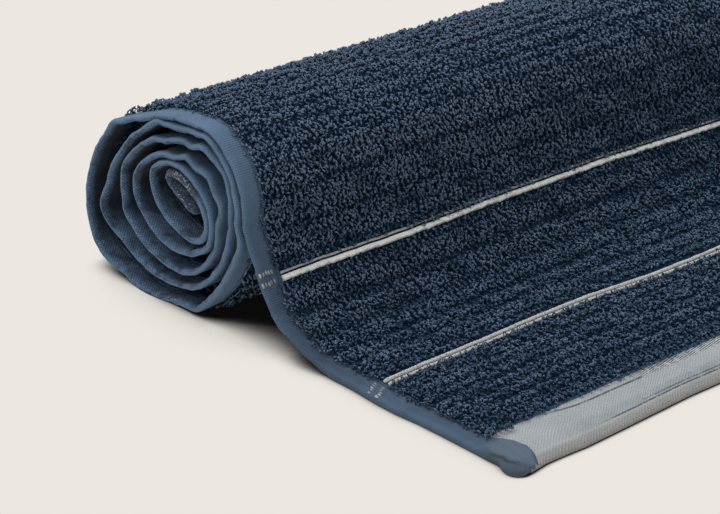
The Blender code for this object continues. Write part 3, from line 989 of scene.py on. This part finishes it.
def one_loop(graph, want, segments, sides, lean, curl, height):
    """A loop of yarn: an arch that thins out to a point at both roots."""
    side = want["Span"] * 0.5
    top = want["Rise"] * (2.0 * height)
    start = graph.node("ShaderNodeCombineXYZ", {0: side * -1.0, 2: want["Sink"] * -1.0})
    middle = graph.node("ShaderNodeCombineXYZ", {
        0: want["Span"] * lean, 1: want["Span"] * curl, 2: top})
    end = graph.node("ShaderNodeCombineXYZ", {0: side, 2: want["Sink"] * -1.0})
    arch = graph.node("GeometryNodeCurveQuadraticBezier", {
        "Resolution": segments, "Start": start, "Middle": middle, "End": end})
    along = graph.node("GeometryNodeSplineParameter")
    rise = along * (1.0 - along) * 4.0
    marked = graph.node("GeometryNodeStoreNamedAttribute", {
        "Geometry": arch, "Name": "reach", "Value": rise}, data_type="FLOAT", domain="POINT")
    full = graph.ramp(rise, 0.0, 0.70)
    round_yarn = graph.node("GeometryNodeCurvePrimitiveCircle", {
        "Resolution": sides, "Radius": want["Yarn"] * 0.54})
    tube = graph.node("GeometryNodeCurveToMesh", {
        "Curve": marked, "Profile Curve": round_yarn, "Scale": full})
    closed = graph.node("GeometryNodeMergeByDistance", {"Geometry": tube, "Distance": 0.000002})
    return graph.node("GeometryNodeSetShadeSmooth", {"Geometry": closed})


def loop_rotation(graph, want):
    """Stands a loop on the cloth, then turns and leans it by a random amount."""
    stand = graph.node("GeometryNodeInputNamedAttribute", {"Name": "stand"}, data_type="FLOAT_VECTOR")
    run = graph.node("GeometryNodeInputNamedAttribute", {"Name": "run"}, data_type="FLOAT_VECTOR")
    upright = graph.node("FunctionNodeAxesToRotation", {0: stand, 1: run},
                         primary_axis="Z", secondary_axis="X")
    lean = want["Lean"]
    least = graph.node("ShaderNodeCombineXYZ", {0: lean * -1.0, 1: lean * -0.6, 2: want["Turn"] * -1.0})
    most = graph.node("ShaderNodeCombineXYZ", {0: lean, 1: lean, 2: want["Turn"]})
    angles = graph.node("FunctionNodeRandomValue", {0: least, 1: most, "Seed": want["Seed"]},
                        data_type="FLOAT_VECTOR")
    spin = graph.node("FunctionNodeEulerToRotation", {0: angles})
    return graph.node("FunctionNodeRotateRotation", {0: upright, 1: spin}, rotation_space="LOCAL")


def grown(name, points, tree, settings, finish):
    """A plain mesh of the loops that the tree stands on the points."""
    seeds = bpy.data.meshes.new(name + "_points")
    seeds.from_pydata(points["place"], [], [])
    for key in ("stand", "run"):
        seeds.attributes.new(key, "FLOAT_VECTOR", "POINT").data.foreach_set("vector", points[key].ravel())
    for key in ("rise", "girth", "tone_and_painted_light"):
        seeds.attributes.new(key, "FLOAT", "POINT").data.foreach_set("value", points[key])
    holder = bpy.data.objects.new(name, seeds)
    bpy.context.scene.collection.objects.link(holder)
    modifier = holder.modifiers.new("loops", "NODES")
    modifier.node_group = tree
    found = {item.name: item.identifier for item in tree.interface.items_tree
             if item.item_type == "SOCKET" and item.in_out == "INPUT"}
    for key, value in {**settings, "Finish": finish}.items():
        modifier[found[key]] = value
    ready = holder.evaluated_get(bpy.context.evaluated_depsgraph_get())
    mesh = bpy.data.meshes.new_from_object(ready)
    holder.modifiers.remove(modifier)
    bpy.data.objects.remove(holder)
    bpy.data.meshes.remove(seeds)
    for key in ("stand", "run", "rise", "girth"):
        mesh.attributes.remove(mesh.attributes[key])
    mesh.name = name
    piece = bpy.data.objects.new(name, mesh)
    bpy.context.scene.collection.objects.link(piece)
    return piece


def in_close_view(x, s, pile):
    """Share of close loops: all of them near the near end, further along it towards the roll."""
    start, slope = CLOSE_VIEW
    return smooth(start + slope * s - x, -0.035, 0.015) * smooth(pile.close_end - s, -0.006, 0.010)


def furrows(x, s, pile):
    """How deep a place lies in a furrow, the furrow's darkness, the way out and the nearness to a ridge."""
    table = np.array(FURROWS)
    more = np.arange(table[-1, 0] + pile.rib, PATH.length + pile.rib, pile.rib)
    lines = np.concatenate([[0.0], table[:, 0], more])
    halves = np.concatenate([[0.0005], table[:, 1], np.full(len(more), pile.furrow_half)])
    darks = np.concatenate([[0.0], table[:, 2], np.full(len(more), 0.9)])
    strayed = s + pile.wander * (soft_noise(x * 0.5, s, 0.045, 21) + 0.5 * soft_noise(x, s, 0.014, 22))
    after = np.clip(np.searchsorted(lines, strayed), 1, len(lines) - 1)
    nearest = after - (strayed - lines[after - 1] < lines[after] - strayed)
    away = strayed - lines[nearest]
    half, dark = halves[nearest], darks[nearest]
    long_runs = np.clip(0.85 + 0.5 * soft_noise(x * 0.3, lines[nearest] * 3.1, 0.024, 23), 0.0, 1.0)
    dashes = np.clip(0.62 + 1.4 * soft_noise(x * 0.8, lines[nearest] * 3.1, 0.022, 25), 0.0, 1.0)
    strength = long_runs + (dashes - long_runs) * dark
    deep = np.exp(-(away / half) ** 2) * strength
    push = np.sign(away) * np.exp(-(away / (half * 1.6)) ** 2) * strength * half
    ridge = np.clip(np.abs(away) / (0.5 * (lines[after] - lines[after - 1])), 0.0, 1.0)
    return deep, dark, push * 0.55 * dark, ridge


def dips(x, s):
    """Short gaps between tufts, longer across the towel than along it, with lower loops in painted shade.
    """
    gaps = smooth(soft_noise(x * 0.36, s, 0.0034, 24, 9), 0.30, 0.90)
    on_the_fall = smooth(s, 0.118, 0.130) * (1.0 - smooth(s, 0.160, 0.170))
    return gaps * (1.0 - 0.55 * on_the_fall)


def pile_start(x, sizes):
    """Where the loops begin beside a band: closer to the end at the side hems."""
    from_rim = np.minimum(x - LOW.x, HIGH.x - x)
    return sizes.plain - 0.0036 * (1.0 - smooth(from_rim, 0.0135, 0.0190))


def stripe_drift(x, end):
    """How far a stripe strays at x. end is its distance from the towel's end."""
    return look_up(STRIPE_DRIFT, x, 1 if end < BETWEEN_STRIPES else 2)


def beside_stripes(x, s):
    """True where there is room for loops beside the stripes."""
    end = np.minimum(s, PATH.length - s)
    clear = np.full(len(x), True)
    for _, middle, width, *_, covered in STRIPE_LINES:
        from_line = end - middle - stripe_drift(x, middle)
        open_line = smooth(soft_noise(x, x * 0.0, 0.019, 61) * 0.7 + 0.5 - covered, -0.20, 0.20)
        shown = 1.0 - (end > BETWEEN_STRIPES) * smooth(x, *OVERGROWN)
        above = 0.5 * width + 0.0004 + 0.0013 * open_line * shown
        overgrown = (covered > MOSTLY_COVERED) & (shown < 0.5)
        clear &= (from_line < -0.5 * width - 0.0006) | (from_line > above) | overgrown
    return clear


def stand_loops(x, s, face, girth, pile, sizes):
    """Points for the loops at the given places of one face of the cloth."""
    s = s + furrows(x, s, pile)[2]
    x = x + pile.tuft * soft_noise(x, s, 0.0042, 51, 9)
    s = s + pile.tuft * soft_noise(x, s, 0.0042, 52, 9)
    room = PATH.free_room(s, face) - sizes.ground_half
    deep, dark, _, ridge = furrows(x, s, pile)
    gap = dips(x, s)
    draw = np.random.default_rng(pile.seed + int(face) + len(x))
    reach = (1.0 - (0.20 + 0.66 * dark) * deep - 0.55 * gap) * draw.uniform(0.80, 1.12, len(x))
    from_rim = np.minimum(x - LOW.x, HIGH.x - x) + 0.0006 * soft_noise(x * 0.2, s, 0.0045, 53)
    from_edge = from_rim - look_up(PILE_EDGE, s) - REVERSE_EDGE * (face < 0)
    from_edge = np.minimum(from_edge, np.minimum(s, PATH.length - s) - pile_start(x, sizes))
    reach = reach * (0.45 + 0.55 * smooth(from_edge, 0.0, 0.0020)) * (0.86 + 0.20 * ridge)
    reach = np.minimum(reach, room / pile.rise)
    # Painted shade in the furrows' gaps and between the tufts, painted light towards the ridges and in the
    # smooth strips, and the painted light along the cloth.
    # The tone holds the loops' random tone together with painted light and shade.
    tone_and_painted_light = draw.uniform(0.62, 1.12, len(x)) * (1.0 - 0.70 * deep * dark) * (1.0 - 0.62 * gap)
    tone_and_painted_light = tone_and_painted_light * (0.76 + 0.38 * ridge) * (1.0 + 0.26 * soft_noise(x * 0.40, s, 0.0075, 54))
    tone_and_painted_light = tone_and_painted_light * (1.0 + 0.25 * deep * (1.0 - dark)) * painted_pile_light(x, s)
    keep = (reach > 0.20) & (from_edge > 0.0) & beside_stripes(x, s)
    x, s, reach, tone_and_painted_light, room = (part[keep] for part in (x, s, reach, tone_and_painted_light, room))
    deep, dark, gap, ridge = (part[keep] for part in (deep, dark, gap, ridge))
    normal = PATH.pair(s, PATH.normal) * face
    run = PATH.pair(s, PATH.run)
    nap = radians(30.0) * soft_noise(x, s, 0.020, 31) + radians(24.0) * soft_noise(x, s, 0.006, 32)
    relief = pile.relief * (soft_noise(x, s, 0.0056, 33) + 0.4 + 1.1 * ridge - 1.4 * deep - 1.2 * gap)
    relief = np.clip(relief, 0.0, np.maximum(room - reach * pile.rise, 0.0))
    zero = np.zeros(len(x))
    return {
        "place": place(x, s, face * (sizes.ground_half + relief), sizes),
        "stand": np.stack([zero, normal[:, 0], normal[:, 1]], axis=1),
        "run": np.stack([np.sin(nap), run[:, 0] * np.cos(nap), run[:, 1] * np.cos(nap)], axis=1),
        "rise": reach,
        "girth": girth * (1.0 - 0.25 * deep * dark + 0.45 * deep * (1.0 - dark)),
        "tone_and_painted_light": tone_and_painted_light,
    }


def painted_pile_light(x, s):
    """Painted light and shade on the pile, changing along the cloth and a little along the roll."""
    near, far = (look_up(PAINTED_PILE_LIGHT, s, column) for column in (1, 2))
    return near + (far - near) * smooth(x, -0.160, -0.080)


def scattered(x_low, x_high, s_low, s_high, spacing, seed):
    """Places in staggered rows, each a little off."""
    draw = np.random.default_rng(seed)
    rows = np.arange(s_low + spacing / 2.0, s_high, spacing * 0.93)
    columns = np.arange(x_low, x_high, spacing * 1.07)
    x, s = np.meshgrid(columns, rows)
    x = x + (np.arange(len(rows)) % 2)[:, None] * spacing * 0.53
    x = (x + draw.uniform(-0.30, 0.30, x.shape) * spacing).ravel()
    s = (s + draw.uniform(-0.28, 0.28, s.shape) * spacing).ravel()
    inside = (x > x_low) & (x < x_high) & (s > s_low) & (s < s_high)
    return x[inside], s[inside], draw.random(int(inside.sum()))


def join_points(parts):
    """The points of several parts as one set."""
    return {key: np.concatenate([part[key] for part in parts]) for key in parts[0]}


def pile_settings(pile, span=1.0):
    """What the loops' tree is given. span is a share of the close loops' span."""
    return {"Span": pile.span * span, "Rise": pile.rise, "Yarn": pile.yarn, "Sink": 0.0004,
            "Turn": radians(58.0), "Lean": radians(24.0), "Seed": pile.seed}


def join(pieces, name):
    """Several meshes as one piece."""
    bpy.ops.object.select_all(action="DESELECT")
    for piece in pieces:
        piece.select_set(True)
    bpy.context.view_layer.objects.active = pieces[0]
    bpy.ops.object.join()
    pieces[0].name = name
    pieces[0].data.name = name
    return pieces[0]


# ---------------------------------------------------------------- operators

class TowelOperator(bpy.types.Operator):
    """Base of the towel's operators."""

    bl_options = {"REGISTER"}

    def finish(self, piece, slot):
        """Rides a finished piece on the part's body."""
        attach(piece, BODY)
        if len(piece.data.polygons) == 0:
            raise RuntimeError(f"{piece.name} came out empty")
        return {"FINISHED"}


class TOWEL_OT_cloth(TowelOperator):
    """The ground cloth that carries the pile"""

    bl_idname = "towel.cloth"
    bl_label = "Ground cloth"

    def execute(self, context):
        scene = context.scene
        finish = ground_finish(scene.towel_colours, scene.towel_cloth)
        piece = link("cloth", ground_mesh(scene.towel_cloth), finish)
        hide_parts(NODE)
        return self.finish(piece, "terry")


class TOWEL_OT_hems(TowelOperator):
    """The two folded side hems"""

    bl_idname = "towel.hems"
    bl_label = "Side hems"

    def execute(self, context):
        scene = context.scene
        piece = link("side_hems", hem_mesh(scene.towel_cloth), hem_finish(scene.towel_colours))
        return self.finish(piece, "hem")


class TOWEL_OT_bands(TowelOperator):
    """The two flat-woven end bands"""

    bl_idname = "towel.bands"
    bl_label = "End bands"

    def execute(self, context):
        scene = context.scene
        finish = band_finish(scene.towel_colours, scene.towel_cloth)
        piece = link("end_bands", band_mesh(scene.towel_cloth), finish)
        return self.finish(piece, "band")


class TOWEL_OT_pile(TowelOperator):
    """The loops of the pile on the faces that show"""

    bl_idname = "towel.pile"
    bl_label = "Pile"

    def execute(self, context):
        scene = context.scene
        sizes, pile = scene.towel_cloth, scene.towel_pile
        finish = terry_finish(scene.towel_colours)
        tree = loop_tree("loops", 3, 3, LOOP_SHAPES)
        limit = sizes.width / 2.0 - min(row[1] for row in PILE_EDGE)
        girth, span, bright = FAR_LOOPS
        for index, (name, face, s_low, s_high, depth) in enumerate(PILE_PIECES):
            x, s, chance = scattered(-limit, limit, s_low, s_high, pile.spacing, 100 + index)
            close = chance < in_close_view(x, s, pile)
            near = stand_loops(x[close], s[close], face, 1.0, pile, sizes)
            x, s, chance = scattered(-limit, limit, s_low, s_high, pile.far_spacing, 200 + index)
            rest = (chance > in_close_view(x, s, pile)) & (np.abs(x) > limit - depth)
            far = stand_loops(x[rest], s[rest], face, girth, pile, sizes)
            far["tone_and_painted_light"] *= bright
            made = [grown(name, points, tree, pile_settings(pile, share), finish)
                    for points, share in ((near, 1.0), (far, span)) if len(points["rise"])]
            self.finish(join(made, name), "terry")
        self.wound_pile(scene, finish, tree, limit)
        return {"FINISHED"}

    def wound_pile(self, scene, finish, tree, limit):
        """The pile that shows between the turns at both ends, and below the fall."""
        sizes, pile = scene.towel_cloth, scene.towel_pile
        girth, bright = WOUND_LOOPS
        parts = []
        for sign in (-1.0, 1.0):
            for index, (face, s_low, s_high, depth) in enumerate(WOUND_PILE):
                low, high = sorted((sign * limit, sign * (limit - depth)))
                x, s, chance = scattered(low, high, s_low, s_high, pile.far_spacing, 300 + index)
                parts.append(stand_loops(x, s, face, girth, pile, sizes))
                # Painted shade: the loops between the turns are painted darker.
                parts[-1]["tone_and_painted_light"] *= bright
        piece = grown("pile_between_turns", join_points(parts), tree, pile_settings(pile), finish)
        self.finish(piece, "terry")


class TOWEL_OT_stripes(TowelOperator):
    """The woven stripes beside the open band, and their dashes on the side hems"""

    bl_idname = "towel.stripes"
    bl_label = "Stripes"

    def execute(self, context):
        scene = context.scene
        sizes = scene.towel_cloth
        finish = stripe_finish(scene.towel_colours)
        tree = loop_tree("stitches", 4, 4, STITCH_SHAPES)
        reach = sizes.width / 2.0 - sizes.hem - 0.0002
        shells = []
        made = []
        for name, middle, width, crest, bright, slant, pitch, long, girth, covered in STRIPE_LINES:
            shells.append(self.ribbon(-reach, reach, middle, width, crest - 0.0002, bright, sizes))
            stitches = self.stitches(-reach, reach, middle, crest, bright, slant, pitch, sizes)
            settings = {"Span": long, "Rise": 0.00022, "Yarn": girth, "Sink": 0.00025,
                        "Turn": radians(5.0), "Lean": radians(3.0), "Seed": 3}
            made.append(grown("stripe_line", stitches, tree, settings, finish))
        made.append(link("ribbons", shells_to_mesh("ribbons", shells, "tone_and_painted_light"), finish))
        made.append(self.dashes(tree, finish, sizes))
        return self.finish(join(made, "stripes"), "band")

    def ribbon(self, low, high, middle, width, crest, bright, sizes):
        """The flat weave of one line, with a rounded top."""
        # columns: share of the half width, share of the height
        profile = np.array([(-1.0, 0.0), (-0.85, 0.62), (-0.45, 0.95),
                            (0.45, 0.95), (0.85, 0.62), (1.0, 0.0)])
        lengthwise = np.linspace(low, high, max(int((high - low) / 0.0024), 4))
        x, across = np.meshgrid(lengthwise, profile[:, 0], indexing="ij")
        share = np.meshgrid(x[:, 0], profile[:, 1], indexing="ij")[1]
        s = self.along(x, middle) + across * width * 0.5
        base = sizes.ground_half - 0.0003
        top = base + share * (crest - base)
        return slab(x, s, top, np.full(x.shape, -base), sizes, (bright, bright))

    def along(self, x, middle):
        """Places of a line along the cloth."""
        return middle + stripe_drift(x, middle) + 0.00012 * soft_noise(x, x * 0.0, 0.007, 42)

    def stitches(self, low, high, middle, crest, bright, slant, pitch, sizes):
        """Stitches of one line, slanted across it."""
        draw = np.random.default_rng(41)
        x = np.arange(low + pitch, high - pitch * 0.5, pitch)
        x = x + draw.uniform(-0.12, 0.12, len(x)) * pitch
        lower = np.where(pitch > 0.003, -0.00042, 0.0)
        s = self.along(x, middle) + draw.uniform(-0.00008, 0.00008, len(x)) + lower
        return self.laid(x, s, radians(slant), crest - 0.0004, bright, sizes)

    def laid(self, x, s, slant, height, bright, sizes):
        """Stitches that lie flat on the outer face, turned by slant from the x direction."""
        ny, nz = np.moveaxis(PATH.pair(s, PATH.normal), -1, 0)
        ty, tz = np.moveaxis(PATH.pair(s, PATH.run), -1, 0)
        zero = np.zeros(len(x))
        return {
            "place": place(x, s, height, sizes),
            "stand": np.stack([zero, ny, nz], axis=1),
            "run": np.stack([zero + np.cos(slant), np.sin(slant) * ty, np.sin(slant) * tz], axis=1),
            "rise": zero + 1.0,
            "girth": zero + 1.0,
            "tone_and_painted_light": zero + bright,
        }

    def dashes(self, tree, finish, sizes):
        """Short dashes where the stripes' yarns cross the side hems."""
        rows = []
        depth = np.array(DASHES)
        draw = np.random.default_rng(43)
        for sign in (-1.0, 1.0):
            for middle, shift in DASH_ROWS:
                s = middle + shift * (1.0 - depth / DASHES[-1]) + draw.uniform(-0.0002, 0.0002, len(depth))
                x = sign * (sizes.width / 2.0 - depth - draw.uniform(-0.0002, 0.0002, len(depth)))
                shades = draw.uniform(0.30, 0.52, len(depth)) * (1.25 - depth / DASHES[-1] * 0.45)
                rows.append(self.laid(x, s, radians(90.0), sizes.hem_half - 0.00016, shades, sizes))
        settings = {"Span": 0.0019, "Rise": 0.00012, "Yarn": 0.00080, "Sink": 0.00005,
                    "Turn": radians(6.0), "Lean": 0.0, "Seed": 5}
        return grown("dashes", join_points(rows), tree, settings, finish)


class TOWEL_OT_stage(TowelOperator):
    """The plain ground, the soft lights and the camera"""

    bl_idname = "towel.stage"
    bl_label = "Stage"

    def execute(self, context):
        scene = context.scene
        stage = scene.towel_stage
        bpy.ops.mesh.primitive_plane_add(size=FLOOR_SIZE, location=(0.0, 0.0, -FLOOR_DROP))
        floor = context.active_object
        floor.name = "floor"
        floor.data.materials.append(floor_finish(scene.towel_colours))
        self.light(scene, stage)
        self.look(scene, stage)
        return {"FINISHED"}

    def light(self, scene, stage):
        """Even light from all round, and one broad lamp overhead."""
        world = bpy.data.worlds.new("studio")
        world.use_nodes = True
        scene.world = world
        graph = Graph(world.node_tree)
        sky = graph.node("ShaderNodeBackground", {"Color": (1.0, 1.0, 1.0), "Strength": stage.sky})
        graph.node("ShaderNodeOutputWorld", {"Surface": sky})
        lamp = bpy.data.lights.new("overhead", "SUN")
        lamp.energy = stage.lamp
        lamp.angle = LAMP_WIDTH
        holder = bpy.data.objects.new("overhead", lamp)
        holder.rotation_euler = LAMP_TURN
        scene.collection.objects.link(holder)

    def look(self, scene, stage):
        """The camera at the photo's angle."""
        camera = bpy.data.cameras.new("camera")
        camera.lens = stage.lens
        camera.sensor_width = SENSOR_WIDTH
        camera.clip_start = 0.01
        holder = bpy.data.objects.new("camera", camera)
        holder.location = stage.camera
        holder.rotation_euler = (pi / 2.0 - stage.elevation, 0.0, stage.azimuth)
        scene.collection.objects.link(holder)
        scene.camera = holder
        scene.view_settings.view_transform = "Standard"


class TOWEL_PT_panel(bpy.types.Panel):
    """The towel's pieces, one button each"""

    bl_label = "Hand towel"
    bl_idname = "TOWEL_PT_panel"
    bl_space_type = "VIEW_3D"
    bl_region_type = "UI"
    bl_category = "Towel"

    def draw(self, context):
        for operator in OPERATORS:
            self.layout.operator(operator.bl_idname)
        for name in GROUPS:
            box = self.layout.box()
            group = getattr(context.scene, name)
            for key in group.bl_rna.properties.keys():
                if key not in ("rna_type", "name"):
                    box.prop(group, key)


OPERATORS = (TOWEL_OT_cloth, TOWEL_OT_hems, TOWEL_OT_bands, TOWEL_OT_pile, TOWEL_OT_stripes,
             TOWEL_OT_stage)
GROUPS = {"towel_cloth": TowelCloth, "towel_pile": TowelPile, "towel_colours": TowelColours,
          "towel_stage": TowelStage}


def register():
    for group in GROUPS.values():
        bpy.utils.register_class(group)
    for name, group in GROUPS.items():
        setattr(bpy.types.Scene, name, bpy.props.PointerProperty(type=group))
    for operator in OPERATORS:
        bpy.utils.register_class(operator)
    bpy.utils.register_class(TOWEL_PT_panel)


def unregister():
    bpy.utils.unregister_class(TOWEL_PT_panel)
    for operator in reversed(OPERATORS):
        bpy.utils.unregister_class(operator)
    for name, group in reversed(list(GROUPS.items())):
        delattr(bpy.types.Scene, name)
        bpy.utils.unregister_class(group)


def main():
    register()
    bpy.ops.towel.stage()
    bpy.ops.towel.cloth()
    bpy.ops.towel.hems()
    bpy.ops.towel.bands()
    bpy.ops.towel.pile()
    bpy.ops.towel.stripes()
    carried = ["side_hems", "end_bands", "stripes", "pile_between_turns"]
    carried += [row[0] for row in PILE_PIECES]


if __name__ == "__main__":
    main()
